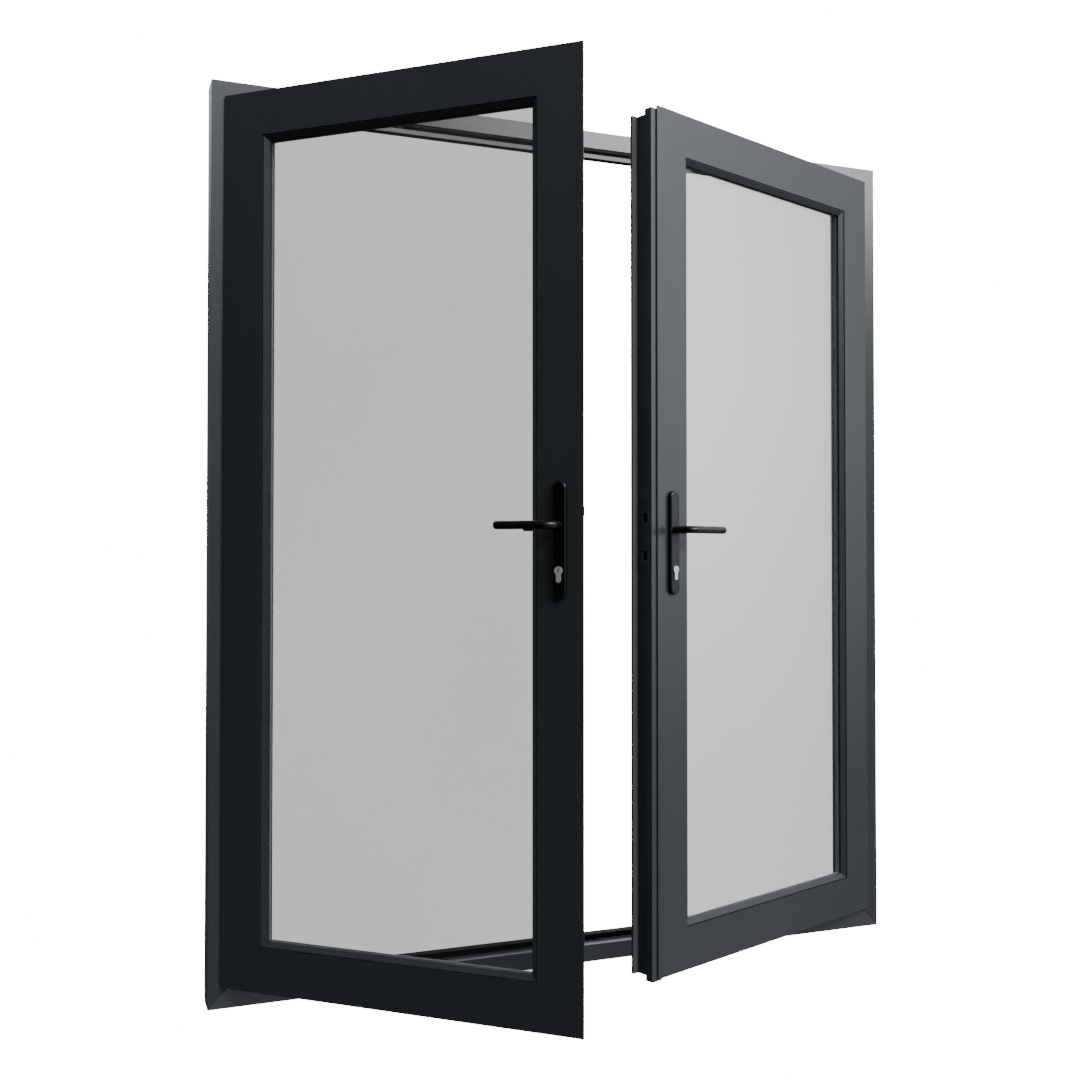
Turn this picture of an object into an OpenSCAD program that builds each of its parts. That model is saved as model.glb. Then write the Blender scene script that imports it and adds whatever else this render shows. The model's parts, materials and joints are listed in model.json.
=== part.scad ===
// French doors: two glazed aluminium leaves that open towards the viewer, in a four-sided frame.
// The origin is the middle of the underside of the threshold, X runs to the right, Y runs back from the
// side that the leaves open to, and Z is up. Sizes are in millimetres.
// A depth is measured backwards from the front face of the frame.
// The leaves are drawn shut and on the left, then mirrored for the right leaf and swung open.

/* [Frame] */
// Width over the frame
frame_w = 1800; // [1500:10:2400]
// Height over the frame
frame_h = 2100; // [1900:10:2600]
// Depth of the frame from front to back
frame_depth = 66; // [62:1:90]
// Width of the front face of each frame member
frame_face = 42; // [40:1:60]
// Depth of the rebate that a leaf shuts into
rebate_depth = 44; // [42:1:50]
// Height of the stop behind the rebate
stop_h = 11; // [10:1:20]
// Wall of the frame members
frame_wall = 2.2; // [1.8:0.1:2.6]

/* [Leaves] */
// Opening angle of the left leaf
left_open_angle = 41.6; // [0:0.1:94]
// Opening angle of the right leaf
right_open_angle = 21.1; // [0:0.1:94]
// How far the front flange of a leaf laps over the frame
lap = 4; // [3:0.5:6]
// Thickness of the front flange
flange_t = 3; // [2.5:0.5:6]
// Gap between the front flange and the frame
flange_gap = 0.5; // [0.4:0.1:1]
// Gap between the frame and the body of a leaf at the hinges and at the head
edge_gap = 8; // [7:0.5:10]
// Gap between the threshold and a leaf
sill_gap = 8; // [6:0.5:12]
// Gap between the frame's stop and a leaf, filled by the seal
seal_gap = 4; // [3:0.5:6]
// Width of the lip seals on the stops
seal_w = 2.5; // [2:0.5:5]
// Thickness of the seal on top of the threshold's stop
sill_seal_t = 2; // [1:0.5:3]
// How far a leaf reaches back past the stop
back_depth = 10; // [8:1:16]
// Gap between the stop and the part of a leaf that reaches past it
back_gap = 5; // [4:0.5:8]
// Width of the front face of each leaf member
member_face = 100; // [90:1:120]
// Wall of the leaf members
leaf_wall = 2.2; // [1.8:0.1:2.6]

/* [Meeting stiles] */
// Gap between the front flanges of the two shut leaves
meet_gap = 10; // [6:1:14]
// Width of the mullion's front ledge beside the right leaf's flange
ledge_w = 17; // [14:1:20]
// Gap between the mullion and the body of the left leaf
lock_gap = 9; // [8:0.5:12]
// Width of the stop along the back of the mullion
mullion_stop_w = 16; // [12:1:20]
// Thickness of that stop
mullion_stop_t = 6; // [4:0.5:8]
// Depth of the mullion's long front part
mullion_nose = 20; // [18:1:24]
// Gap between the mullion's end caps and the frame
mullion_gap = 3.5; // [3:0.5:5]
// Thickness of the end caps
cap_t = 3; // [2:0.5:5]

/* [Glazing] */
// Thickness of each pane
pane_t = 4; // [3:0.5:6]
// Gap between the two panes
cavity = 8; // [6:1:12]
// Gap between the panes' edges and the leaf
pane_gap = 3; // [2.5:0.5:5]
// Thickness of the gaskets on both sides of the glass
gasket_t = 3; // [2.5:0.5:4]
// Width of the lip behind the glass
lip_w = 7; // [6:0.5:12]
// Thickness of that lip
lip_t = 4; // [3:0.5:5]
// How far the leaf's back steps away from the glass behind that lip
lip_step = 5; // [3:0.5:8]
// Width of the glazing bead
bead_w = 14; // [12:1:20]
// How far the bead's front lies behind the leaf's front
bead_set = 2; // [1:0.5:4]
// Width of the shadow groove between the bead and the leaf
groove_w = 1.6; // [1:0.1:2.5]
// Depth of that groove
groove_d = 4; // [3:0.5:5]

/* [Hinges] */
// Hinges on each leaf
hinge_count = 3; // [2:1:4]
// Distance of the end hinges from the ends of a leaf
hinge_end = 220; // [150:10:300]
// Distance of the hinge axis outwards from the leaf's flange
axis_out = 9; // [8.5:0.5:11]
// Diameter of the hinge pin
pin_d = 6; // [5:0.5:6.5]
// Diameter of the hinge knuckles
knuckle_d = 9.6; // [9:0.2:10]
// Inner radius of the gooseneck arm
neck_r = 9; // [8.8:0.1:9.6]
// Thickness of the gooseneck arm
neck_t = 4.5; // [4:0.5:5]
// Height of the gooseneck arm
arm_h = 36; // [30:1:50]
// Height of the hinge housing and of the plate on the leaf
hinge_h = 110; // [90:5:140]

/* [Handles] */
// Height of the handle's axis
lever_z = 1079; // [950:1:1150]
// Distance of the handle's axis from the flange of the meeting stile
backset = 50; // [46:1:56]
// Length of the handle plate
plate_l = 241; // [236:1:260]
// Width of the handle plate
plate_w = 30; // [28:1:36]
// Thickness of the handle plate
plate_t = 10; // [8:0.5:12]
// Radius of the handle plate's edge
plate_edge = 4; // [1:0.5:5]
// Height of the handle's axis above the middle of the plate
plate_rise = 30; // [28:1:34]
// Diameter of the lever's round bar
lever_d = 17; // [16:0.5:20]
// Length of the lever from its axis to its tip
lever_l = 123; // [105:1:150]
// Distance of the lever's bar from the plate
lever_out = 46; // [40:1:60]
// Radius of the lever's elbow
elbow_r = 20; // [16:1:26]
// Side of the square spindle
spindle_s = 8; // [7:0.5:9]
// Distance of the lock cylinder below the handle's axis
cylinder_drop = 92; // [88:1:96]

/* [Lock] */
// Depth of the lock case into the stile
case_l = 66; // [62:1:72]
// Thickness of the lock case
case_t = 16; // [15:0.5:18]
// Thickness of the lock's faceplate
faceplate_t = 3; // [2:0.5:4]
// Width of the faceplate
faceplate_w = 20; // [18:0.5:24]
// Throw of the latch
latch_throw = 9; // [8:0.5:13]
// Diameter of the shoot bolts
shoot_d = 10; // [8:0.5:10]
// Throw of the shoot bolts
shoot_throw = 18; // [14:1:20]
// Diameter of the frame's fixing holes
fixing_d = 8; // [6:0.5:10]

/* [Hidden] */
// Overrun of cuts, running fit of turned pieces, loose fit of pieces that slide or drop in
over = 1;
fit = 0.05;
loose = 0.3;
$fn = 64;

sides = ["left", "right"];
anthracite = "#3d4347";
black = "#101112";
steel = "#b9bdc0";
clear_grey = [0.75, 0.78, 0.8, 0.35];

// Places in depth
front_y = -frame_depth / 2;
leaf_front = -(flange_gap + flange_t);
core_back = rebate_depth - seal_gap;
leaf_back = core_back + back_depth;
leaf_mid = (leaf_front + leaf_back) / 2;
lip_front = core_back - lip_t;
glass_back = lip_front - gasket_t;
glass_front = glass_back - 2 * pane_t - cavity;
bead_back = glass_front - gasket_t;
seal_t = seal_gap - loose;

// Rectangles seen from the front, as [left, bottom, right, top]
stop_in = frame_face + stop_h;
core_in = frame_face + edge_gap;
back_in = stop_in + back_gap;
mullion_side = ledge_w - meet_gap / 2;
core_free = mullion_side + lock_gap;
back_free = mullion_side + mullion_stop_w + back_gap;
leaf_bottom = frame_face + sill_gap;
flange_x = -frame_w / 2 + frame_face - lap;
frame_rect = [-frame_w / 2, 0, frame_w / 2, frame_h];
leaf_rect = [flange_x, leaf_bottom, -meet_gap / 2, frame_h - frame_face + lap];
core_rect = [-frame_w / 2 + core_in, leaf_bottom, -core_free, frame_h - core_in];
back_rect = [-frame_w / 2 + back_in, back_in, -back_free, frame_h - back_in];
glaze_rect = inset(leaf_rect, member_face);
pane_rect = inset(glaze_rect, pane_gap);
spacer_w = 6;
spacer_in = 1;
gasket_in = 3;
gasket_show = 1.5;

// Hinge axis, hinge heights and the gooseneck's angles about the axis
axis_x = flange_x - axis_out;
axis_d = frame_wall + knuckle_d / 2 + 2 * loose;
hinge_low = leaf_bottom + hinge_end;
hinge_high = leaf_rect[3] - hinge_end;
hinge_zs = [for (i = [0 : hinge_count - 1]) hinge_low + (hinge_high - hinge_low) * i / (hinge_count - 1)];
neck_out_r = neck_r + neck_t;
neck_angles = [10, 102];
web_angle = 88;
arm_plate_t = 3;
arm_plate_d = 26;
arm_plate_from = axis_d - neck_t;
lug_gap = 0.4;
lug_h = 26;
housing_w = 15;
housing_d = 16;
slot_side = 4;

// Handle and lock places
handle_x = leaf_rect[2] - backset;
plate_z = lever_z - plate_rise;
cylinder_z = lever_z - cylinder_drop;
bolt_in = 10;
bolt_z = plate_l / 2 - bolt_in;
bolt_d = 5;
bolt_head_d = 8.5;
bolt_head_h = 3;
bolt_grip = 5;
neck_seat = 6;
neck_socket = 22;
spindle_in = 18;
tip_l = 8;
tip_edge = 6;
follower_r = 9;
follower_t = 10;
follower_arm = 19;
follower_arm_w = 6;
case_d = (leaf_front + core_back) / 2;
case_top = 74;
case_low = 130;
latch_h = 18;
latch_t = 10;
latch_l = 44;
latch_z = lever_z + follower_arm + 2 * loose + latch_h / 2;
latch_nose = 8;
dead_h = 18;
dead_t = 11;
dead_l = 52;
dead_drop = 60;
dead_z = lever_z - dead_drop;
faceplate_top = 88;
faceplate_low = 150;
edge_x = -core_free;
face_x = edge_x + faceplate_t;

// Lock cylinder profile
euro_r = 8.5;
euro_w = 10;
euro_h = 33;
plug_d = 13;
cam_w = 10;
cam_r = 15;
cam_hub_r = 7.6;
cam_tooth_w = 7;
euro_proud = 3;
keyway_w = 2.6;
keyway_h = 8;
keyway_deep = 12;

// Shoot bolts and the mullion, drawn on the left as part of the mirrored right leaf
mullion_end = frame_face + mullion_gap;
mullion_back_end = back_in;
shoot_in = 1;
shoot_x = -core_free / 2 - shoot_in;
shoot_d0 = mullion_nose / 2;
tab_h = 16;
tab_t = 4;
tab_in = 12;
tab_d = shoot_d0 + tab_t / 2;
window_deep = 17;
tab_rise = 36;
top_tab_z = lever_z + tab_rise;
low_tab_z = lever_z - tab_rise;
keep_wall = 2.5;
keep_rim = 2;
keep_rim_t = 1.5;
keep_l = shoot_throw + 4;
strike_t = 2;
strike_w = 24;
strike_top = 70;
strike_low = 88;

// Fixing holes in the frame
fixing_end = 200;
jamb_fixings = [for (i = [0 : 3]) fixing_end + (frame_h - 2 * fixing_end) * i / 3];
head_fixings = [-frame_w / 4, frame_w / 4];

leaf_parts = [
    "hinge_stile", "lock_stile", "top_rail", "bottom_rail", "beads_rail", "beads_stile", "glass_panes",
    "glass_spacer", "glazing_gaskets", "hinge_arms", "lock_case", "cylinder", "front_plate", "back_plate",
    "handle_bolts", "front_lever", "back_lever", "spindle", "follower", "cylinder_plug"
];

// A rectangle drawn in by the same amount on every side
function inset(r, by) = [r[0] + by, r[1] + by, r[2] - by, r[3] - by];

// The mitred outline of one side of a rectangular ring
function mitre(r, side, k) =
    side == "top" ? [[r[0], r[3]], [r[2], r[3]], [r[2] - k, r[3] - k], [r[0] + k, r[3] - k]] :
    side == "bottom" ? [[r[0], r[1]], [r[2], r[1]], [r[2] - k, r[1] + k], [r[0] + k, r[1] + k]] :
    side == "left" ? [[r[0], r[1]], [r[0], r[3]], [r[0] + k, r[3] - k], [r[0] + k, r[1] + k]] :
    [[r[2], r[1]], [r[2], r[3]], [r[2] - k, r[3] - k], [r[2] - k, r[1] + k]];

// A slab over a rectangle between two depths
module slab(r, from, to) {
    translate([r[0], front_y + from, r[1]]) cube([r[2] - r[0], to - from, r[3] - r[1]]);
}

// A rectangular ring between two depths
module ring(outer, inner, from, to) {
    difference() {
        slab(outer, from, to);
        slab(inner, from - over, to + over);
    }
}

// A prism with the mitred outline of one side of a ring
module wedge(r, side, k, from, to) {
    translate([0, front_y + to, 0]) rotate([90, 0, 0]) linear_extrude(to - from) polygon(mitre(r, side, k));
}

// One mitred bar of a ring, from a profile drawn as [depth, distance in from the ring's edge]
module bar(r, side, k) {
    run = side == "top" || side == "bottom" ? r[2] - r[0] : r[3] - r[1];
    turn = side == "bottom" ? 0 : side == "top" ? 180 : side == "left" ? 90 : -90;
    from = side == "bottom" ? [r[0], r[1]] : side == "top" ? [r[2], r[3]] :
        side == "left" ? [r[0], r[3]] : [r[2], r[1]];
    translate([from[0], front_y, from[1]]) rotate([0, turn, 0]) intersection() {
        rotate([90, 0, 90]) linear_extrude(run) children();
        translate([0, frame_depth, 0]) rotate([90, 0, 0]) linear_extrude(2 * frame_depth)
            polygon([[0, 0], [run, 0], [run - k, k], [k, k]]);
    }
}

// A half section with a rounded outer edge, for turning or for one side of a strip
module edge_half(r, h, edge) {
    square([r - edge, h]);
    square([r, h - edge]);
    translate([r - edge, h - edge]) circle(edge);
}

// A round hole through the frame or a leaf from front to back
module through(x, z, r) {
    translate([x, front_y + leaf_front - over, z]) rotate([-90, 0, 0])
        cylinder(r = r, h = leaf_back - leaf_front + 2 * over);
}

// Swings a leaf open about its hinge axis
module swing(angle) {
    translate([axis_x, front_y + axis_d, 0]) rotate([0, 0, -angle])
        translate([-axis_x, -front_y - axis_d, 0]) children();
}

// Puts what is drawn on the shut left leaf in its place on either leaf
module pose(side) {
    if (side == "right") mirror([1, 0, 0]) swing(right_open_angle) children();
    else swing(left_open_angle) children();
}

// Mirrors what is on a leaf's front to its back
module to_back() {
    translate([0, front_y + leaf_mid, 0]) mirror([0, 1, 0]) translate([0, -front_y - leaf_mid, 0]) children();
}

// The frame's four members as one hollow ring with a rebate and a stop
module frame_ring() {
    difference() {
        slab(frame_rect, 0, frame_depth);
        slab(inset(frame_rect, frame_face), -over, rebate_depth);
        slab(inset(frame_rect, stop_in), rebate_depth - over, frame_depth + over);
        ring(inset(frame_rect, frame_wall), inset(frame_rect, frame_face - frame_wall),
             frame_wall, rebate_depth - frame_wall);
        ring(inset(frame_rect, frame_wall), inset(frame_rect, stop_in - frame_wall),
             rebate_depth, frame_depth - frame_wall);
    }
}

module frame_member(side) {
    intersection() {
        frame_ring();
        wedge(frame_rect, side, stop_in + over, -over, frame_depth + over);
    }
}

// The seat of a shoot bolt's keep, in the threshold or turned over in the head
module keep_hole() {
    translate([-shoot_x, front_y + shoot_d0, frame_face - frame_wall - over])
        cylinder(d = shoot_d + 2 * keep_wall + 2 * loose, h = frame_wall + 2 * over);
}

module upside_down() {
    translate([0, 0, frame_h]) mirror([0, 0, 1]) children();
}

module frame_head() {
    color(anthracite) difference() {
        frame_member("top");
        upside_down() keep_hole();
        for (x = head_fixings) translate([x, front_y + rebate_depth / 2, frame_h - frame_face - over])
            cylinder(d = fixing_d, h = frame_face + 2 * over);
    }
}

module frame_threshold() {
    color(anthracite) difference() {
        frame_member("bottom");
        keep_hole();
    }
}

// A jamb on the left, with fixing holes and a slot for each gooseneck arm
module jamb() {
    slot_x = axis_x + slot_side;
    slot_d = axis_d + neck_out_r;
    difference() {
        frame_member("left");
        for (z = jamb_fixings) translate([-frame_w / 2 - over, front_y + rebate_depth / 2, z])
            rotate([0, 90, 0]) cylinder(d = fixing_d, h = frame_face + 2 * over);
        for (z = hinge_zs) translate([slot_x, front_y - over, z - arm_h / 2 - over])
            cube([frame_face, slot_d + over, arm_h + 2 * over]);
    }
}

module frame_jamb_left() {
    color(anthracite) jamb();
}

module frame_jamb_right() {
    color(anthracite) mirror([1, 0, 0]) jamb();
}

// Lip seal along the inner edge of the stop of the head and the jambs
module frame_gasket() {
    color(black) difference() {
        ring(inset(frame_rect, stop_in - seal_w), inset(frame_rect, stop_in),
             rebate_depth - seal_t, rebate_depth);
        slab([frame_rect[0], 0, frame_rect[2], frame_face], 0, frame_depth);
        slab([-frame_w / 2 + stop_in, 0, frame_w / 2 - stop_in, stop_in], 0, frame_depth);
    }
}

// Seal that covers the front and the top of the threshold's stop
module threshold_seal() {
    across = [-frame_w / 2 + stop_in, frame_w / 2 - stop_in];
    color(black) union() {
        slab([across[0], frame_face, across[1], stop_in + sill_seal_t], rebate_depth - seal_t, rebate_depth);
        slab([across[0], stop_in, across[1], stop_in + sill_seal_t], rebate_depth - seal_t, frame_depth);
    }
}

// Corner cleats inside the mitres of the frame
module frame_corner_cleats() {
    cleat_l = 2 * stop_in;
    cleat_fit = loose / 3;
    color(steel) difference() {
        ring(inset(frame_rect, frame_wall + cleat_fit), inset(frame_rect, stop_in - frame_wall - cleat_fit),
             rebate_depth + cleat_fit, frame_depth - frame_wall - cleat_fit);
        slab([-frame_w / 2 + cleat_l, -over, frame_w / 2 - cleat_l, frame_h + over], 0, frame_depth);
        slab([-frame_w / 2 - over, cleat_l, frame_w / 2 + over, frame_h - cleat_l], 0, frame_depth);
    }
}

// Draws a hinge's piece at every hinge of the shut left leaf
module at_hinges() {
    for (z = hinge_zs) translate([axis_x, front_y + axis_d, z]) children();
}

module both_sides() {
    children();
    mirror([1, 0, 0]) children();
}

// A knuckle beside the gooseneck, on the housing's block
module lug() {
    difference() {
        linear_extrude(lug_h) union() {
            circle(d = knuckle_d);
            translate([-knuckle_d, -knuckle_d / 2]) square([knuckle_d, knuckle_d]);
        }
        translate([0, 0, -over]) cylinder(d = pin_d + 2 * fit, h = lug_h + 2 * over);
    }
}

module hinge_housing() {
    block_x = -knuckle_d / 2 - over;
    lug_from = arm_h / 2 + lug_gap;
    translate([block_x - housing_w, frame_wall - axis_d, -hinge_h / 2]) cube([housing_w, housing_d, hinge_h]);
    translate([0, 0, lug_from]) lug();
    translate([0, 0, -lug_from - lug_h]) lug();
}

module hinge_housings() {
    color(steel) both_sides() at_hinges() hinge_housing();
}

module hinge_pins() {
    color(steel) both_sides() at_hinges()
        cylinder(d = pin_d, h = arm_h + 2 * (lug_h + lug_gap), center = true);
}

// A sector about the hinge axis that the gooseneck's bow fills
function sector(r, angles) = concat([[0, 0]],
    [for (share = [0, 0.5, 1])
        let (a = angles[0] + (angles[1] - angles[0]) * share) [r * cos(a), r * sin(a)]]);

// The gooseneck arm: a knuckle, a bow round the jamb's corner and a plate on the leaf's edge
module hinge_arm() {
    plate_x = core_rect[0] - axis_x - arm_plate_t;
    difference() {
        union() {
            linear_extrude(arm_h, center = true) union() {
                circle(d = knuckle_d);
                intersection() {
                    difference() {
                        circle(neck_out_r);
                        circle(neck_r);
                    }
                    polygon(sector(2 * neck_out_r, neck_angles));
                }
                rotate(web_angle) translate([0, -neck_t / 2]) square([neck_r + neck_t / 2, neck_t]);
                translate([neck_r + neck_t / 2, 0]) square([plate_x - neck_r, neck_t]);
            }
            translate([plate_x, arm_plate_from - axis_d, -hinge_h / 2])
                cube([arm_plate_t, arm_plate_d, hinge_h]);
        }
        cylinder(d = pin_d + 2 * fit, h = arm_h + 2 * over, center = true);
    }
}

module hinge_arms() {
    color(steel) at_hinges() hinge_arm();
}

// A leaf's four members as one hollow ring with a front flange and a glazing lip
module leaf_ring() {
    difference() {
        union() {
            slab(leaf_rect, leaf_front, -flange_gap);
            slab(core_rect, leaf_front, core_back);
            slab(back_rect, leaf_front, leaf_back);
        }
        slab(glaze_rect, leaf_front - over, lip_front);
        slab(inset(glaze_rect, lip_w), leaf_front - over, leaf_back + over);
        slab(inset(glaze_rect, -lip_step), core_back, leaf_back + over);
        ring(inset(core_rect, leaf_wall), inset(glaze_rect, -leaf_wall),
             leaf_front + leaf_wall, core_back - leaf_wall);
        ring(inset(back_rect, leaf_wall), inset(glaze_rect, -lip_step - leaf_wall),
             core_back, leaf_back - leaf_wall);
    }
}

module leaf_member(side) {
    intersection() {
        leaf_ring();
        wedge(leaf_rect, side, member_face + lip_w + over, leaf_front - over, leaf_back + over);
    }
}

module hinge_stile() {
    color(anthracite) leaf_member("left");
}

module top_rail() {
    color(anthracite) leaf_member("top");
}

module bottom_rail() {
    color(anthracite) leaf_member("bottom");
}

// The outline of the lock cylinder, with its round part on the plug's axis
module euro_outline(gap) {
    circle(euro_r + gap);
    translate([-euro_w / 2 - gap, -euro_h + euro_r + euro_w / 2])
        square([euro_w + 2 * gap, euro_h - euro_r - euro_w / 2]);
    translate([0, -euro_h + euro_r + euro_w / 2]) circle(euro_w / 2 + gap);
}

// A bar of the cylinder's outline between two depths
module euro_bar(gap, from, to) {
    translate([handle_x, front_y + to, cylinder_z]) rotate([90, 0, 0])
        linear_extrude(to - from) euro_outline(gap);
}

module lock_stile() {
    color(anthracite) difference() {
        leaf_member("right");
        through(handle_x, lever_z, follower_r);
        for (z = [-bolt_z, bolt_z]) through(handle_x, plate_z + z, bolt_d / 2 + loose);
        euro_bar(loose, leaf_front - over, leaf_back + over);
        slab([edge_x - leaf_wall - over, lever_z - case_low, edge_x + over, lever_z + case_top],
             case_d - case_t / 2 - loose, case_d + case_t / 2 + loose);
    }
}

// Section of the snap-in glazing bead, as [depth, distance in from the glazing rebate]
module bead_section() {
    wall = leaf_wall;
    front = leaf_front + bead_set;
    groove = front + groove_d;
    toe = bead_back - bead_w / 2;
    polygon([
        [bead_back, 0], [groove, 0], [groove, groove_w], [front, groove_w], [front, groove_w + wall / 2],
        [toe, bead_w], [bead_back, bead_w], [bead_back, bead_w - wall], [toe + wall, bead_w - wall],
        [groove + wall, wall], [bead_back, wall]
    ]);
}

module beads_rail() {
    color(anthracite) for (side = ["top", "bottom"]) bar(glaze_rect, side, bead_w + over) bead_section();
}

module beads_stile() {
    color(anthracite) for (side = sides) bar(glaze_rect, side, bead_w + over) bead_section();
}

module glass_panes() {
    color(clear_grey) for (from = [glass_front, glass_back - pane_t]) slab(pane_rect, from, from + pane_t);
}

module glass_spacer() {
    color(steel) ring(inset(pane_rect, spacer_in), inset(pane_rect, spacer_in + spacer_w),
                      glass_front + pane_t, glass_back - pane_t);
}

// Gaskets between the bead and the glass and between the glass and the lip
module glazing_gaskets() {
    color(black) {
        ring(inset(glaze_rect, gasket_in), inset(glaze_rect, bead_w + gasket_show), bead_back, glass_front);
        ring(inset(glaze_rect, gasket_in), inset(glaze_rect, lip_w + gasket_show),
             glass_back, lip_front);
    }
}

// Turns what is drawn with Z outwards so that it stands on the leaf's front at a height on the handle's line
module on_front(z) {
    translate([handle_x, front_y + leaf_front, z]) rotate([90, 0, 0]) children();
}

// A round-ended plate with a rounded edge
module plate_blank() {
    straight = plate_l - plate_w;
    for (turn = [0, 180]) rotate(turn) translate([0, straight / 2, 0])
        rotate_extrude(angle = 180) edge_half(plate_w / 2, plate_t, plate_edge);
    rotate([90, 0, 0]) linear_extrude(straight, center = true) union() {
        edge_half(plate_w / 2, plate_t, plate_edge);
        mirror([1, 0]) edge_half(plate_w / 2, plate_t, plate_edge);
    }
}

// A handle plate bored for the lever's neck and cut out for the cylinder
module plate() {
    difference() {
        on_front(plate_z) plate_blank();
        on_front(lever_z) translate([0, 0, -over]) cylinder(d = lever_d + 2 * fit, h = plate_t + 2 * over);
        euro_bar(loose, leaf_front - plate_t - over, leaf_front + over);
    }
}

module front_plate() {
    color(black) difference() {
        plate();
        for (z = [-bolt_z, bolt_z]) on_front(plate_z + z)
            translate([0, 0, -over]) cylinder(d = bolt_d + 2 * fit, h = bolt_grip + over);
    }
}

module back_plate() {
    color(black) to_back() difference() {
        plate();
        for (z = [-bolt_z, bolt_z]) on_front(plate_z + z) {
            translate([0, 0, -over]) cylinder(d = bolt_d + 2 * fit, h = plate_t + 2 * over);
            translate([0, 0, plate_t - bolt_head_h])
                cylinder(d = bolt_head_d + 2 * loose, h = bolt_head_h + over);
        }
    }
}

// Bolts that clamp the two handle plates through the stile
module handle_bolts() {
    length = leaf_back - leaf_front + plate_t - bolt_head_h + bolt_grip;
    color(steel) to_back() for (z = [-bolt_z, bolt_z]) on_front(plate_z + z)
        translate([0, 0, plate_t - bolt_head_h]) {
            cylinder(d = bolt_head_d, h = bolt_head_h);
            translate([0, 0, -length]) cylinder(d = bolt_d, h = length);
        }
}

// A lever of round bar: neck, elbow, straight grip and rounded tip, with a square socket for the spindle
module lever() {
    bar_z = plate_t + lever_out;
    neck_from = plate_t - neck_seat;
    neck_to = bar_z - elbow_r;
    grip_l = lever_l - elbow_r - tip_l;
    socket = spindle_s + loose;
    difference() {
        union() {
            translate([0, 0, neck_from]) cylinder(d = lever_d, h = neck_to - neck_from);
            translate([-elbow_r, 0, neck_to]) rotate([90, 0, 0]) rotate_extrude(angle = 90)
                translate([elbow_r, 0]) circle(d = lever_d);
            translate([-elbow_r, 0, bar_z]) rotate([0, -90, 0]) {
                cylinder(d = lever_d, h = grip_l);
                translate([0, 0, grip_l]) rotate_extrude() intersection() {
                    edge_half(lever_d / 2, tip_l, tip_edge);
                    square([lever_d, tip_l]);
                }
            }
        }
        translate([-socket / 2, -socket / 2, neck_from - over]) cube([socket, socket, neck_socket + over]);
    }
}

module front_lever() {
    color(black) on_front(lever_z) lever();
}

module back_lever() {
    color(black) to_back() on_front(lever_z) lever();
}

// The square spindle between the two levers
module spindle() {
    reach = plate_t - neck_seat + spindle_in;
    length = leaf_back - leaf_front + 2 * reach;
    color(steel) translate([handle_x - spindle_s / 2, front_y + leaf_front - reach, lever_z - spindle_s / 2])
        cube([spindle_s, length, spindle_s]);
}

// The hub in the lock that the spindle turns, with its arm towards the latch
module follower() {
    socket = spindle_s + loose;
    color(steel) translate([handle_x, front_y + case_d, lever_z]) rotate([90, 0, 0]) difference() {
        union() {
            cylinder(r = follower_r, h = follower_t, center = true);
            translate([-follower_arm_w / 2, 0, -follower_t / 2])
                cube([follower_arm_w, follower_arm, follower_t]);
        }
        cube([socket, socket, follower_t + 2 * over], center = true);
    }
}

// A box in the lock, from an edge inwards, at a height and centred on the lock's depth
module lock_box(from, to, z, height, thick) {
    translate([from, front_y + case_d - thick / 2, z - height / 2]) cube([to - from, thick, height]);
}

// The space in the lock case for the follower and the sweep of its arm
module follower_space() {
    translate([handle_x, front_y + case_d, lever_z]) rotate([90, 0, 0]) {
        cylinder(r = follower_r + fit, h = case_t + 2 * over, center = true);
        intersection() {
            cylinder(r = follower_arm + 2 * loose, h = follower_t + 2 * loose, center = true);
            translate([-follower_arm - over, 0, -follower_t])
                cube([2 * (follower_arm + over), follower_arm + over, 2 * follower_t]);
        }
    }
}

// The space in the lock case round the cylinder and its cam
module cylinder_space() {
    euro_bar(loose, leaf_front, leaf_back);
    translate([handle_x, front_y + leaf_mid, cylinder_z]) rotate([90, 0, 0])
        cylinder(r = cam_r + 2 * loose, h = cam_w + 2 * over, center = true);
}

// The channels of the left lock's latch and deadbolt
module bolt_channels() {
    lock_box(face_x - latch_l - latch_throw - over, edge_x + over, latch_z, latch_h + 2 * loose,
             latch_t + 2 * loose);
    lock_box(face_x - dead_l - over, edge_x + over, dead_z, dead_h + 2 * loose, dead_t + 2 * loose);
}

// The channels of the tabs that drive the right leaf's shoot bolts
module tab_channels() {
    travel = tab_h + shoot_throw;
    for (z = [top_tab_z, low_tab_z - travel])
        translate([edge_x - tab_in - over, front_y + tab_d - tab_t / 2 - loose, z - over])
            cube([tab_in + 2 * over, tab_t + 2 * loose, travel + 2 * over]);
}

module lock_case(side) {
    height = case_low + case_top;
    color(steel) difference() {
        lock_box(edge_x - case_l, edge_x, lever_z + case_top - height / 2, height, case_t);
        follower_space();
        cylinder_space();
        for (z = [-bolt_z, bolt_z]) through(handle_x, plate_z + z, bolt_d / 2 + loose);
        if (side == "left") bolt_channels();
        else tab_channels();
    }
}

// The fixed body of the double cylinder, open in the middle for the cam
module cylinder_body() {
    from = leaf_front - plate_t - euro_proud;
    to = leaf_back + plate_t + euro_proud;
    color(steel) difference() {
        euro_bar(0, from, to);
        translate([handle_x, front_y + from - over, cylinder_z]) rotate([-90, 0, 0])
            cylinder(d = plug_d + 2 * fit, h = to - from + 2 * over);
        translate([handle_x - euro_r - over, front_y + leaf_mid - cam_w / 2 - loose,
                   cylinder_z - cam_r - loose])
            cube([2 * (euro_r + over), cam_w + 2 * loose, cam_r + euro_r + loose + over]);
    }
}

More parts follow.
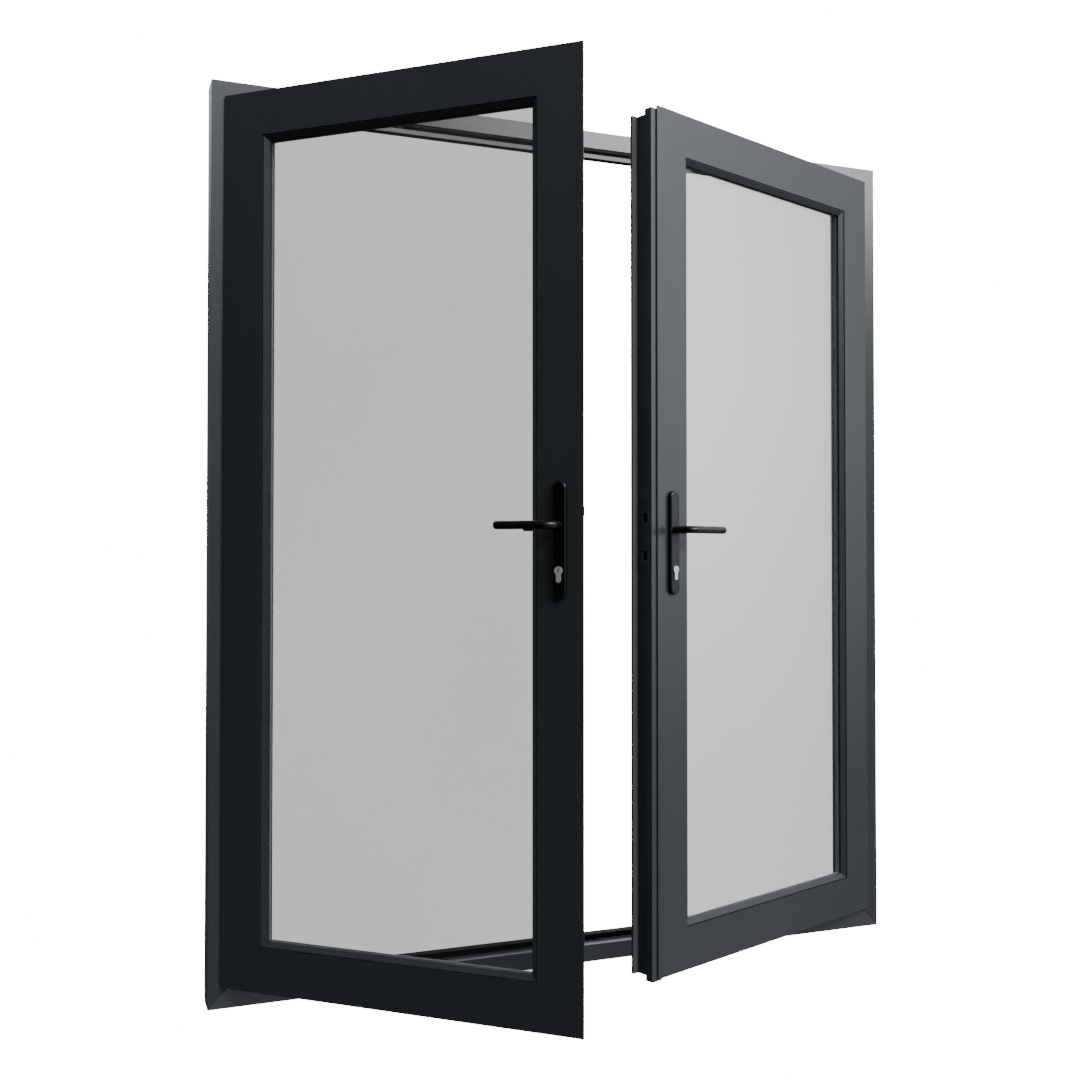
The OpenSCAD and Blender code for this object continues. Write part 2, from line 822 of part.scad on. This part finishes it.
// The turning plug with its cam and a keyway in each end
module cylinder_plug() {
    length = leaf_back - leaf_front + 2 * (plate_t + euro_proud);
    color(steel) translate([handle_x, front_y + leaf_mid, cylinder_z]) rotate([90, 0, 0]) difference() {
        union() {
            cylinder(d = plug_d, h = length, center = true);
            cylinder(r = cam_hub_r, h = cam_w, center = true);
            intersection() {
                cylinder(r = cam_r, h = cam_w, center = true);
                translate([-cam_tooth_w / 2, -cam_r, -cam_w / 2]) cube([cam_tooth_w, cam_r, cam_w]);
            }
        }
        for (z = [-1, 1]) translate([0, 0, z * length / 2])
            cube([keyway_w, keyway_h, 2 * keyway_deep], center = true);
    }
}

// The faceplate on the edge of the left leaf's lock stile
module lock_faceplate() {
    height = faceplate_top + faceplate_low;
    color(steel) difference() {
        lock_box(edge_x, face_x, lever_z + faceplate_top - height / 2, height, faceplate_w);
        lock_box(edge_x - over, face_x + over, latch_z, latch_h + 2 * loose, latch_t + 2 * loose);
        lock_box(edge_x - over, face_x + over, dead_z, dead_h + 2 * loose, dead_t + 2 * loose);
    }
}

// The sprung latch, bevelled on the side that meets the strike plate
module latch() {
    tip = face_x + latch_throw;
    tail = face_x - latch_l;
    low = front_y + case_d - latch_t / 2;
    high = front_y + case_d + latch_t / 2;
    color(steel) translate([0, 0, latch_z - latch_h / 2]) linear_extrude(latch_h)
        polygon([[tail, low], [tip, low], [tip, low + latch_t / 5], [tip - latch_nose, high], [tail, high]]);
}

module deadbolt() {
    color(steel) lock_box(face_x - dead_l, face_x, dead_z, dead_h, dead_t);
}

// Height of the mullion between its end caps or between the stops behind them
function mullion_span(low) = [low, frame_h - low];

// A block of the mullion between two places across, two depths and two heights
module mullion_block(across, depths, heights) {
    slab([across[0], heights[0], across[1], heights[1]], depths[0], depths[1]);
}

// The floating mullion on the right leaf's meeting stile, shorter behind so that it clears the stops
module mullion() {
    nose = mullion_span(mullion_end + cap_t);
    body = mullion_span(mullion_back_end);
    across = [edge_x, mullion_side];
    hollow = [edge_x + leaf_wall, mullion_side - leaf_wall];
    stop_across = [-back_free + loose, mullion_side + mullion_stop_w];
    tab_span = [low_tab_z - tab_h - shoot_throw - over, top_tab_z + tab_h + shoot_throw + over];
    color(anthracite) difference() {
        union() {
            mullion_block(across, [0, mullion_nose], nose);
            mullion_block(across, [0, rebate_depth], body);
            mullion_block(stop_across, [rebate_depth, rebate_depth + mullion_stop_t], body);
        }
        mullion_block(hollow, [leaf_wall, mullion_nose - leaf_wall], mullion_span(0));
        mullion_block(hollow, [mullion_nose, rebate_depth - leaf_wall], mullion_span(0));
        mullion_block([edge_x - over, edge_x + leaf_wall + over],
                      [tab_d - tab_t / 2 - loose, tab_d + tab_t / 2 + loose], tab_span);
        lock_windows(mullion_side - window_deep, mullion_side + over);
    }
}

// The windows for the latch and the deadbolt, in the mullion's side and in the strike plate
module lock_windows(from, to) {
    lock_box(from, to, latch_z, latch_h + 2 * over, latch_t + 2 * over);
    lock_box(from, to, dead_z, dead_h + 2 * over, dead_t + 2 * over);
}

module strike_plate() {
    height = strike_top + strike_low;
    color(black) difference() {
        lock_box(mullion_side, mullion_side + strike_t, lever_z + strike_top - height / 2, height, strike_w);
        lock_windows(mullion_side - over, mullion_side + strike_t + over);
    }
}

// Seal on the back of the left leaf's lock stile, which closes on the mullion's stop
module meeting_seal() {
    stop_edge = mullion_side + mullion_stop_w;
    color(black) slab([-stop_edge, back_in, seal_w - stop_edge, frame_h - back_in],
                      core_back, core_back + seal_t);
}

// An end cap of the mullion, with a spigot in its hollow and a bore that guides the shoot bolt
module mullion_cap() {
    spigot = mullion_nose / 2;
    hollow = [edge_x + leaf_wall + loose / 2, mullion_side - leaf_wall - loose / 2];
    difference() {
        union() {
            mullion_block([edge_x, mullion_side], [0, mullion_nose], [mullion_end, mullion_end + cap_t]);
            mullion_block(hollow, [leaf_wall + loose / 2, mullion_nose - leaf_wall - loose / 2],
                          [mullion_end, mullion_end + cap_t + spigot]);
        }
        translate([shoot_x, front_y + shoot_d0, mullion_end - over])
            cylinder(d = shoot_d + 2 * fit, h = cap_t + spigot + 2 * over);
    }
}

module mullion_caps() {
    color(black) {
        mullion_cap();
        upside_down() mullion_cap();
    }
}

// A shoot bolt between two heights, with the tab that its lock drives
module shoot_rod(from, to, tab_from) {
    translate([shoot_x, front_y + shoot_d0, from]) cylinder(d = shoot_d, h = to - from);
    translate([edge_x - tab_in, front_y + tab_d - tab_t / 2, tab_from])
        cube([shoot_x - edge_x + tab_in, tab_t, tab_h]);
}

module shootbolt_top() {
    color(steel) shoot_rod(top_tab_z, frame_h - mullion_end, top_tab_z);
}

module shootbolt_bottom() {
    color(steel) shoot_rod(mullion_end, low_tab_z, low_tab_z - tab_h);
}

// A rimmed bush that takes a shoot bolt
module keep() {
    outer_d = shoot_d + 2 * keep_wall;
    translate([-shoot_x, front_y + shoot_d0, frame_face]) difference() {
        union() {
            cylinder(d = outer_d + 2 * keep_rim, h = keep_rim_t);
            translate([0, 0, -keep_l]) cylinder(d = outer_d, h = keep_l + keep_rim_t);
        }
        translate([0, 0, -keep_l - over])
            cylinder(d = shoot_d + 4 * loose, h = keep_l + keep_rim_t + 2 * over);
    }
}

module shootbolt_keeps() {
    color(steel) {
        keep();
        upside_down() keep();
    }
}

frame_head();
frame_jamb_left();
frame_jamb_right();
frame_threshold();
frame_gasket();
threshold_seal();
frame_corner_cleats();
hinge_housings();
hinge_pins();
shootbolt_keeps();
for (side = sides) {
    pose(side) hinge_stile();
    pose(side) lock_stile();
    pose(side) top_rail();
    pose(side) bottom_rail();
    pose(side) beads_rail();
    pose(side) beads_stile();
    pose(side) glass_panes();
    pose(side) glass_spacer();
    pose(side) glazing_gaskets();
    pose(side) hinge_arms();
    pose(side) lock_case(side);
    pose(side) cylinder_body();
    pose(side) front_plate();
    pose(side) back_plate();
    pose(side) handle_bolts();
    pose(side) front_lever();
    pose(side) back_lever();
    pose(side) spindle();
    pose(side) follower();
    pose(side) cylinder_plug();
}
pose("left") lock_faceplate();  // left_lock_faceplate
pose("left") latch();  // left_latch
pose("left") deadbolt();  // left_deadbolt
pose("left") meeting_seal();  // left_meeting_seal
pose("right") mullion();  // right_mullion
pose("right") mullion_caps();  // right_mullion_caps
pose("right") strike_plate();  // right_strike_plate
pose("right") shootbolt_top();  // right_shootbolt_top
pose("right") shootbolt_bottom();  // right_shootbolt_bottom
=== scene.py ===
import json
import math

import bmesh
import bpy
from mathutils import Matrix, Vector


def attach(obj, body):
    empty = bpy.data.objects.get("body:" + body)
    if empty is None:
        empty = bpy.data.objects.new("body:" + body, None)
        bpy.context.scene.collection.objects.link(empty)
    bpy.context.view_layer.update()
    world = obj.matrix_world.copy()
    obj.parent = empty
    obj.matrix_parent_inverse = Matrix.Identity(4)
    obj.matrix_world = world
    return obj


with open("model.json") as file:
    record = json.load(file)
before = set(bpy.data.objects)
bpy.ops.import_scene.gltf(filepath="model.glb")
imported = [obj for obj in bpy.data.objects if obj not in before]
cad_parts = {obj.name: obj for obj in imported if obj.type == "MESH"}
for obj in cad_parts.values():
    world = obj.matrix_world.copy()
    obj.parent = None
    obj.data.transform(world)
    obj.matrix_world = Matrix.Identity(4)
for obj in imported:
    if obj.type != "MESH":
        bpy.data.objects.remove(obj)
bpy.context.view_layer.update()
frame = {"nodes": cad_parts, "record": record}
nodes = frame["nodes"]
scene = bpy.context.scene

# Places in metres, as in the part. Those on a leaf are for the shut left leaf, which the right leaf mirrors.
SIDES = ("left", "right")
OPEN = {"left": math.radians(41.6), "right": math.radians(21.1)}
FRONT = -0.033  # front face of the frame
AXIS = Vector((-0.871, FRONT + 0.0076, 0.0))  # on the line of the hinge pins
STOP = FRONT + 0.044  # face of the stops that the leaves shut against
LEAF_BACK = FRONT + 0.050

HINGE_ZS = (0.270, 1.056, 1.842)
HINGE_X = -0.853  # outer face of the hinge arms' plates on the leaf's edge
HINGE_Y = FRONT + 0.0185
HINGE_SCREWS = (-0.046, -0.032, 0.032, 0.046)  # heights from the middle of a hinge

LEVER_Z = 1.079
HANDLE_X = -0.055
PLATE_Z = LEVER_Z - 0.030  # middle of the handle plates
PLATE_BACK = LEAF_BACK + 0.010  # outer face of the back plate
PLATE_SCREW = 0.1105  # height from the plate's middle to its screws

LOCK_Y = FRONT + 0.01825  # middle of the faceplate and of the strike plate
FACEPLATE_X = -0.018
FACEPLATE_SCREWS = (0.080, 0.008, -0.142)  # heights from the lever
STRIKE_X = 0.014
STRIKE_SCREWS = (0.060, -0.004, -0.079)  # likewise

STRIP_X = 0.8577  # outer edge of the strips on the jambs' stops
STRIP_TOP = 2.0577  # upper edge of the strip on the head's stop
JAMB_STRIP_ZS = (0.0560, 2.0495)  # foot and top
SOFFIT_Z = 2.058  # underside of the head in its rebate
BREAK_Y = FRONT + 0.0215  # front edge of the thermal break
BREAK_RUNS = ((-0.8575, -0.456), (-0.444, 0.444), (0.456, 0.8575))  # between the fixing holes
MULLION_STRIP_X = 0.0123  # edge of the strip on the mullion's stop
MULLION_STRIP_ZS = (0.059, 2.041)


def leaf_matrix(side):
    """Swing a place on the shut left leaf to where it is on a leaf in the rest pose."""
    swing = Matrix.Translation(AXIS) @ Matrix.Rotation(-OPEN[side], 4, "Z") @ Matrix.Translation(-AXIS)
    return Matrix.Scale(-1, 4, (1, 0, 0)) @ swing if side == "right" else swing


def add_object(name, data):
    obj = bpy.data.objects.new(name, data)
    scene.collection.objects.link(obj)
    return obj


# Materials

NOISE_LOW, NOISE_HIGH = 0.3, 0.7  # the part of a noise's range that its values mostly fill


def tree(name):
    mat = bpy.data.materials.new(name)
    mat.use_nodes = True
    nt = mat.node_tree
    return mat, nt, nt.nodes["Principled BSDF"]


def link(nt, a, out, b, sock):
    nt.links.new(a.outputs[out], b.inputs[sock])


def noise(nt, scale, detail):
    n = nt.nodes.new("ShaderNodeTexNoise")
    n.inputs["Scale"].default_value = scale
    n.inputs["Detail"].default_value = detail
    n.inputs["Roughness"].default_value = 0.55
    coord = nt.nodes.new("ShaderNodeTexCoord")
    link(nt, coord, "Object", n, "Vector")
    return n


def map_range(nt, src, out, start, end, before, after):
    """A node whose value goes from before to after while the source goes from start to end."""
    r = nt.nodes.new("ShaderNodeMapRange")
    r.inputs["From Min"].default_value = start
    r.inputs["From Max"].default_value = end
    r.inputs["To Min"].default_value = before
    r.inputs["To Max"].default_value = after
    link(nt, src, out, r, "Value")
    return r


def spread(nt, src, lo, hi):
    return map_range(nt, src, "Fac", NOISE_LOW, NOISE_HIGH, lo, hi)


def tint(nt, src, dark, light):
    r = nt.nodes.new("ShaderNodeValToRGB")
    for stop, position, colour in zip(r.color_ramp.elements, (NOISE_LOW, NOISE_HIGH), (dark, light)):
        stop.position = position
        stop.color = (*colour, 1)
    link(nt, src, "Fac", r, "Fac")
    return r


def bump(nt, src, strength, distance):
    b = nt.nodes.new("ShaderNodeBump")
    b.inputs["Strength"].default_value = strength
    b.inputs["Distance"].default_value = distance
    link(nt, src, "Fac", b, "Height")
    return b


def coat_material(name, dark, light, rough, grain, strength, gloss=0.55):
    """A sprayed or baked coat: fine texture, slight cloudiness in tone and sheen."""
    mat, nt, p = tree(name)
    cloud = noise(nt, scale=3.0, detail=4.0)
    fine = noise(nt, scale=grain, detail=2.0)
    link(nt, tint(nt, cloud, dark, light), "Color", p, "Base Color")
    link(nt, spread(nt, fine, rough - 0.04, rough + 0.05), "Result", p, "Roughness")
    link(nt, bump(nt, fine, strength, distance=0.0002), "Normal", p, "Normal")
    p.inputs["Specular IOR Level"].default_value = gloss
    return mat


def metal_material(name, dark, light, rough, grain, metal=1.0):
    """Plated or plain metal with a fine grain in tone and sheen."""
    mat, nt, p = tree(name)
    p.inputs["Metallic"].default_value = metal
    fine = noise(nt, scale=grain, detail=4.0)
    link(nt, tint(nt, fine, dark, light), "Color", p, "Base Color")
    link(nt, spread(nt, fine, rough - 0.06, rough + 0.08), "Result", p, "Roughness")
    link(nt, bump(nt, fine, strength=0.08, distance=0.0001), "Normal", p, "Normal")
    return mat


def glass_material():
    """Clear float glass with a faint tint and a faint wave."""
    mat, nt, p = tree("pane_glass")
    wave = noise(nt, scale=1.6, detail=1.0)
    link(nt, tint(nt, wave, (0.730, 0.734, 0.734), (0.742, 0.746, 0.746)), "Color", p, "Base Color")
    p.inputs["Transmission Weight"].default_value = 1.0
    p.inputs["Roughness"].default_value = 0.0
    p.inputs["IOR"].default_value = 1.45
    link(nt, bump(nt, wave, strength=0.015, distance=0.002), "Normal", p, "Normal")
    return mat


POWDER = coat_material("powder_coat", (0.0265, 0.0310, 0.0338), (0.0308, 0.0357, 0.0390),
                       rough=0.27, grain=1800.0, strength=0.10)
# The threshold's coat is the powder coat made a quarter lighter: painted light that offsets the shade the
# open leaves cast on it.
SILL_LIT = coat_material("threshold_coat_lit", (0.0330, 0.0385, 0.0420), (0.0380, 0.0440, 0.0480),
                     rough=0.30, grain=1800.0, strength=0.10, gloss=0.95)
RUBBER = coat_material("seal_rubber", (0.0040, 0.0040, 0.0042), (0.0065, 0.0065, 0.0068),
                       rough=0.70, grain=900.0, strength=0.16, gloss=0.20)
NYLON = coat_material("cap_nylon", (0.008, 0.008, 0.0085), (0.013, 0.013, 0.0135),
                      rough=0.50, grain=1400.0, strength=0.12)
BLACK = coat_material("handle_black", (0.0016, 0.0018, 0.0019), (0.0024, 0.0026, 0.0028),
                      rough=0.30, grain=2200.0, strength=0.07, gloss=0.50)
# Light grey for the strips on the stops, which is painted reflection on the stops' faces.
STRIP_SHEEN = coat_material("strip_grey_sheen", (0.52, 0.53, 0.53), (0.60, 0.61, 0.61),
                      rough=0.55, grain=900.0, strength=0.12)
SPACER = coat_material("spacer_grey", (0.70, 0.71, 0.72), (0.76, 0.77, 0.78),
                       rough=0.50, grain=1400.0, strength=0.08)
GREY_SEAL = coat_material("glazing_seal", (0.150, 0.158, 0.163), (0.178, 0.186, 0.191),
                          rough=0.60, grain=900.0, strength=0.14, gloss=0.30)
BEAD = coat_material("bead_coat", (0.0250, 0.0295, 0.0325), (0.0290, 0.0340, 0.0372),
                     rough=0.34, grain=1800.0, strength=0.10, gloss=0.28)
# The mullion's stop strip: a grey lighter than the coat, which is painted reflection.
MULLION_SHEEN = coat_material("mullion_strip_sheen", (0.078, 0.083, 0.086), (0.094, 0.099, 0.102),
                     rough=0.55, grain=900.0, strength=0.12)
NICKEL = metal_material("satin_nickel", (0.70, 0.70, 0.68), (0.82, 0.82, 0.80),
                        rough=0.30, grain=700.0, metal=0.6)
ZINC = metal_material("zinc_steel", (0.48, 0.50, 0.52), (0.60, 0.62, 0.63), rough=0.36, grain=400.0)
MILL = metal_material("mill_aluminium", (0.58, 0.59, 0.60), (0.68, 0.69, 0.70), rough=0.34, grain=500.0)
GLASS = glass_material()

# The look of each of the record's slots, and of the nodes that differ from their slot
LOOKS = {"profile": POWDER, "seal": RUBBER, "strip": STRIP_SHEEN, "nylon": NYLON, "glass": GLASS, "steel": ZINC,
         "spacer": MILL, "handle": BLACK, "nickel": NICKEL}
SPECIAL = {"frame_threshold": SILL_LIT}
for side in SIDES:
    SPECIAL[side + "_glass_spacer"] = SPACER
    SPECIAL[side + "_glazing_gaskets"] = GREY_SEAL
    SPECIAL[side + "_beads_rail"] = BEAD
    SPECIAL[side + "_beads_stile"] = BEAD
slots = {row["node"]: row["material_slot"] for row in frame["record"]["subparts"]}
for name, obj in nodes.items():
    obj.data.materials.clear()
    obj.data.materials.append(SPECIAL.get(name, LOOKS[slots[name]]))

# Extruded members get a small radius on each edge, which also shows the mitres as fine grooves
for name, obj in nodes.items():
    if slots[name] == "profile":
        edge = obj.modifiers.new("edge", "BEVEL")
        edge.width = 0.0006
        edge.segments = 2
        edge.limit_method = "ANGLE"
        edge.angle_limit = math.radians(25)


# Small pieces that the solids leave out

def add_piece(name, bm, body, material):
    mesh = bpy.data.meshes.new(name)
    bmesh.ops.recalc_face_normals(bm, faces=bm.faces)
    bm.to_mesh(mesh)
    bm.free()
    mesh.materials.append(material)
    obj = add_object(name, mesh)
    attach(obj, body)
    return obj


def loft(bm, loops):
    """Join loops of equal length into a closed shape with a cap on each end."""
    rows = [[bm.verts.new(p) for p in loop] for loop in loops]
    n = len(rows[0])
    for a, b in zip(rows, rows[1:]):
        for i in range(n):
            bm.faces.new((a[i], a[(i + 1) % n], b[(i + 1) % n], b[i]))
    bm.faces.new(rows[0][::-1])
    bm.faces.new(rows[-1])


def screw(bm, place, radius, height):
    """A flat-domed screw head with a cross recess, standing on place's XY plane."""
    points = 24
    turns = [2 * math.pi * i / points for i in range(points)]
    disc = [1.0] * points
    cross = [0.20 + 0.32 * max(0.0, math.cos(4 * t)) for t in turns]
    # Outline, its scale and its share of the height, from the foot over the dome into the recess
    rings = [(disc, 1.0, -0.5), (disc, 1.0, 0.25), (disc, 0.94, 0.62), (disc, 0.80, 0.90), (disc, 0.62, 1.0),
             (cross, 1.0, 1.0), (cross, 0.72, -0.2)]
    loops = []
    for outline, scale, z in rings:
        reach = [radius * (scale * r) for r in outline]
        ring = [Vector((r * math.cos(t), r * math.sin(t), height * z)) for t, r in zip(turns, reach)]
        loops.append([place @ point for point in ring])
    loft(bm, loops)


def facing(side, point, normal):
    """A place on a leaf whose Z axis looks along normal, both given for the shut left leaf."""
    turned = Vector(normal).to_track_quat("Z", "Y").to_matrix().to_4x4()
    return leaf_matrix(side) @ Matrix.Translation(point) @ turned


def add_screws(name, side, points, normal, radius, height, material):
    """One piece with a screw head at each point of a leaf."""
    bm = bmesh.new()
    for point in points:
        screw(bm, facing(side, point, normal), radius, height)
    add_piece(name, bm, side + "_leaf", material)


for side in SIDES:
    add_screws(side + "_hinge_screws", side,
               [(HINGE_X, HINGE_Y, z + dz) for z in HINGE_ZS for dz in HINGE_SCREWS],
               normal=(-1, 0, 0), radius=0.0036, height=0.0006, material=ZINC)
    add_screws(side + "_plate_screws", side,
               [(HANDLE_X, PLATE_BACK, z) for z in (PLATE_Z - PLATE_SCREW, PLATE_Z + PLATE_SCREW)],
               normal=(0, 1, 0), radius=0.0039, height=0.0006, material=ZINC)
add_screws("left_faceplate_screws", "left", [(FACEPLATE_X, LOCK_Y, LEVER_Z + dz) for dz in FACEPLATE_SCREWS],
           normal=(1, 0, 0), radius=0.0036, height=0.0005, material=ZINC)
add_screws("right_strike_screws", "right", [(STRIKE_X, LOCK_Y, LEVER_Z + dz) for dz in STRIKE_SCREWS],
           normal=(1, 0, 0), radius=0.0034, height=0.0005, material=BLACK)


def ribbed(width, base, rise, ribs=3):
    """Section of a flat strip with round ribs, as (across, out)."""
    steps = 6
    pts = [(width, 0.0), (0.0, 0.0)]
    for k in range(ribs * steps + 1):
        t = k / steps
        pts.append((width * t / ribs, base + rise * abs(math.sin(math.pi * t))))
    return pts


def strip(bm, section, start, end, across, out):
    """Sweep a section along a straight run."""
    run = [Vector(start), Vector(end)]
    loft(bm, [[p + Vector(across) * a + Vector(out) * b for a, b in section] for p in run])


# Ribbed strip on the face of the stops, beside the lip seal. Its light grey is painted reflection: it stands
# for the light that the stops' faces give back.
section = ribbed(width=0.0078, base=0.0010, rise=0.0006)
bm = bmesh.new()
strip(bm, section, (-STRIP_X, STOP, STRIP_TOP), (STRIP_X, STOP, STRIP_TOP), (0, 0, -1), (0, -1, 0))
for k in (-1, 1):
    foot, top = [(STRIP_X * k, STOP, z) for z in JAMB_STRIP_ZS]
    strip(bm, section, foot, top, (-k, 0, 0), (0, -1, 0))
stop_strip = add_piece("frame_stop_strip", bm, "frame", STRIP_SHEEN)

# Black thermal break in the rebate of the head, which stops short of the fixing holes. Its black is also
# painted shade: it keeps the head's soffit as dark as the shade there.
section = ribbed(width=0.0205, base=0.0003, rise=0.0002, ribs=5)
bm = bmesh.new()
for x0, x1 in BREAK_RUNS:
    strip(bm, section, (x0, BREAK_Y, SOFFIT_Z), (x1, BREAK_Y, SOFFIT_Z), (0, 1, 0), (0, 0, -1))
add_piece("frame_head_break_shade", bm, "frame", RUBBER)

# Thin dark grey strip on the face of the mullion's stop. Its grey, lighter than the coat, is painted
# reflection that stands for the light the stop's face gives back.
section = ribbed(width=0.0154, base=0.00016, rise=0.00006)
place = leaf_matrix("right")
foot, top = [place @ Vector((MULLION_STRIP_X, STOP, z)) for z in MULLION_STRIP_ZS]
across, out = [place.to_3x3() @ Vector(axis) for axis in ((1, 0, 0), (0, -1, 0))]
bm = bmesh.new()
strip(bm, section, foot, top, across, out)
add_piece("right_mullion_strip", bm, "right_leaf", MULLION_SHEEN)

# Camera where the photograph was taken from
IMAGE_PX = 1080.0
FOCAL_PX = 1223.251
SENSOR = 36.0
EYE = (-1.203474, -2.837617 + FRONT, 1.00585)
YAW, PITCH = math.radians(21.228), math.radians(1.000)
ahead = Vector((math.sin(YAW) * math.cos(PITCH), math.cos(YAW) * math.cos(PITCH), math.sin(PITCH)))
right = Vector((math.cos(YAW), -math.sin(YAW), 0.0))
up = right.cross(ahead)
cam = add_object("camera", bpy.data.cameras.new("camera"))
cam.data.sensor_width = SENSOR
cam.data.lens = FOCAL_PX / IMAGE_PX * SENSOR
cam.data.dof.use_dof = False
cam.data.clip_end = 200.0
view = Matrix((right, up, -ahead)).transposed().to_4x4()
view.translation = EYE
cam.matrix_world = view
scene.camera = cam

# Pale floor, bright enough to read as white; it neither shines in the doors nor lights them
FLOOR_REACH = 40
corners = [(FLOOR_REACH * x, FLOOR_REACH * y, 0) for x, y in ((-1, -1), (1, -1), (1, 1), (-1, 1))]
mesh = bpy.data.meshes.new("floor")
mesh.from_pydata(corners, [], [(0, 1, 2, 3)])
floor = add_object("floor", mesh)
mat, nt, p = tree("floor_pale")
cloud = noise(nt, scale=2.0, detail=3.0)
link(nt, tint(nt, cloud, (0.88, 0.88, 0.88), (0.90, 0.90, 0.90)), "Color", p, "Base Color")
p.inputs["Roughness"].default_value = 0.8
p.inputs["Emission Color"].default_value = (1, 1, 1, 1)
p.inputs["Emission Strength"].default_value = 16.6
mesh.materials.append(mat)
floor.visible_glossy = False
floor.visible_diffuse = False
floor.visible_transmission = False

# Surroundings: plain white to look at, and darker straight through glass. What lights the doors and shines in
# them is a studio that is dark on the left, open in front and brightest high on the right.
BACKDROP = 18.0
world = bpy.data.worlds.new("studio")
scene.world = world
world.use_nodes = True
nt = world.node_tree
bg = nt.nodes["Background"]
coord = nt.nodes.new("ShaderNodeTexCoord")
direction = nt.nodes.new("ShaderNodeSeparateXYZ")
link(nt, coord, "Generated", direction, "Vector")
path = nt.nodes.new("ShaderNodeLightPath").outputs


def band(axis, before, after, start, end):
    """Go smoothly from before to after while the direction's axis goes from start to end."""
    r = map_range(nt, direction, axis, start, end, before, after)
    r.interpolation_type = "SMOOTHSTEP"
    return r.outputs[0]


def combine(op, *terms):
    """Take sockets and numbers together, from the first to the last."""
    result = terms[0]
    for term in terms[1:]:
        m = nt.nodes.new("ShaderNodeMath")
        m.operation = op
        for socket, value in zip(m.inputs, (result, term)):
            if isinstance(value, (int, float)):
                socket.default_value = value
            else:
                nt.links.new(value, socket)
        result = m.outputs[0]
    return result


def product(*terms):
    return combine("MULTIPLY", *terms)


def total(*terms):
    return combine("ADD", *terms)


def rest_of(share):
    return combine("SUBTRACT", 1.0, share)


# The studio: its front, which fades to the left and overhead, a weaker copy of that behind the doors, and a
# patch far to the left behind them
front = product(band("X", 0.06, 1.0, -0.50, 0.15), band("Z", 0.28, 4.0, 0.20, 0.44),
                band("Z", 1.0, 0.12, 0.48, 0.70))
behind = product(band("Y", 0.0, 1.0, 0.0, 0.4), band("Z", 0.10, 0.75, -0.25, 0.05))
beside = product(band("X", 1.0, 0.0, -0.65, -0.35), band("Y", 0.0, 0.45, 0.35, 0.60))
wide = total(product(front, total(band("Y", 1.0, 0.0, 0.0, 0.4), behind)), beside)

# On the far right, a tall window that ends overhead and towards the back, and its light on the ground
window = product(band("Z", 0.46, 2.95, -0.22, 0.20), band("Y", 1.0, 0.36, -0.36, -0.20),
                 band("Z", 1.0, 0.25, 0.34, 0.46), band("Y", 1.0, 0.30, -0.19, -0.12))
window = total(window, band("Z", 1.4, 0.0, -0.46, -0.34))
far_right = band("X", 0.0, 1.0, 0.78, 0.94)
studio = total(product(far_right, window), product(rest_of(far_right), wide))

# The white backdrop for what is looked at, a darker one for what is seen straight through glass, and the
# studio for all else
looked = product(path["Is Camera Ray"], BACKDROP)
bounced = combine("SUBTRACT", path["Ray Depth"], path["Transmission Depth"])
straight = product(path["Is Transmission Ray"], combine("LESS_THAN", bounced, 1.5))
through = product(straight, band("X", 1.48, 1.90, 0.34, 0.46))
seen = combine("MAXIMUM", path["Is Camera Ray"], straight)
strength = total(combine("MAXIMUM", looked, through), product(rest_of(seen), studio))
nt.links.new(strength, bg.inputs["Strength"])

# The studio's light is a little cool
hue = nt.nodes.new("ShaderNodeMix")
hue.data_type = "RGBA"
hue.inputs["A"].default_value = (0.955, 1.0, 1.055, 1)
hue.inputs["B"].default_value = (1, 1, 1, 1)
nt.links.new(seen, hue.inputs["Factor"])
nt.links.new(hue.outputs["Result"], bg.inputs["Color"])


def area(name, place, target, size, power):
    """A rectangular lamp that can't be seen by itself or through glass."""
    data = bpy.data.lights.new(name, "AREA")
    data.shape = "RECTANGLE"
    data.size, data.size_y = size
    data.energy = power
    obj = add_object(name, data)
    obj.location = place
    obj.rotation_euler = (Vector(target) - Vector(place)).to_track_quat("-Z", "Y").to_euler()
    obj.visible_camera = False
    obj.visible_transmission = False
    return obj


def reach_only(light, group, pieces):
    """Let a lamp light a few pieces and nothing else, with no shadow and no reflection of the lamp."""
    light.data.use_shadow = False
    light.visible_glossy = False
    receivers = bpy.data.collections.new(group)
    for piece in pieces:
        receivers.objects.link(piece)
    light.light_linking.receiver_collection = receivers


area("softbox", (2.7, -4.3, 3.95), (0.3, 0.0, 1.9), size=(3.4, 1.4), power=222)
back = area("back_softbox", (-2.4, 4.4, 3.0), (0.0, 0.0, 1.2), size=(3.2, 2.2), power=300)
back.visible_glossy = False
stop_light = area("stop_light", (0.2, -3.0, 0.9), (0.0, 0.0, 2.05), size=(1.5, 0.6), power=80)
reach_only(stop_light, "stops", (stop_strip, nodes["frame_gasket"]))
sill_light = area("sill_light", (-0.15, -0.9, 0.3), (-0.15, 0.0, 0.03), size=(0.8, 0.2), power=3.2)
reach_only(sill_light, "sills", (nodes["frame_threshold"],))
overhead = add_object("overhead", bpy.data.lights.new("overhead", "SUN"))
overhead.data.energy = 3.0
overhead.data.angle = math.radians(80)
overhead.visible_glossy = False
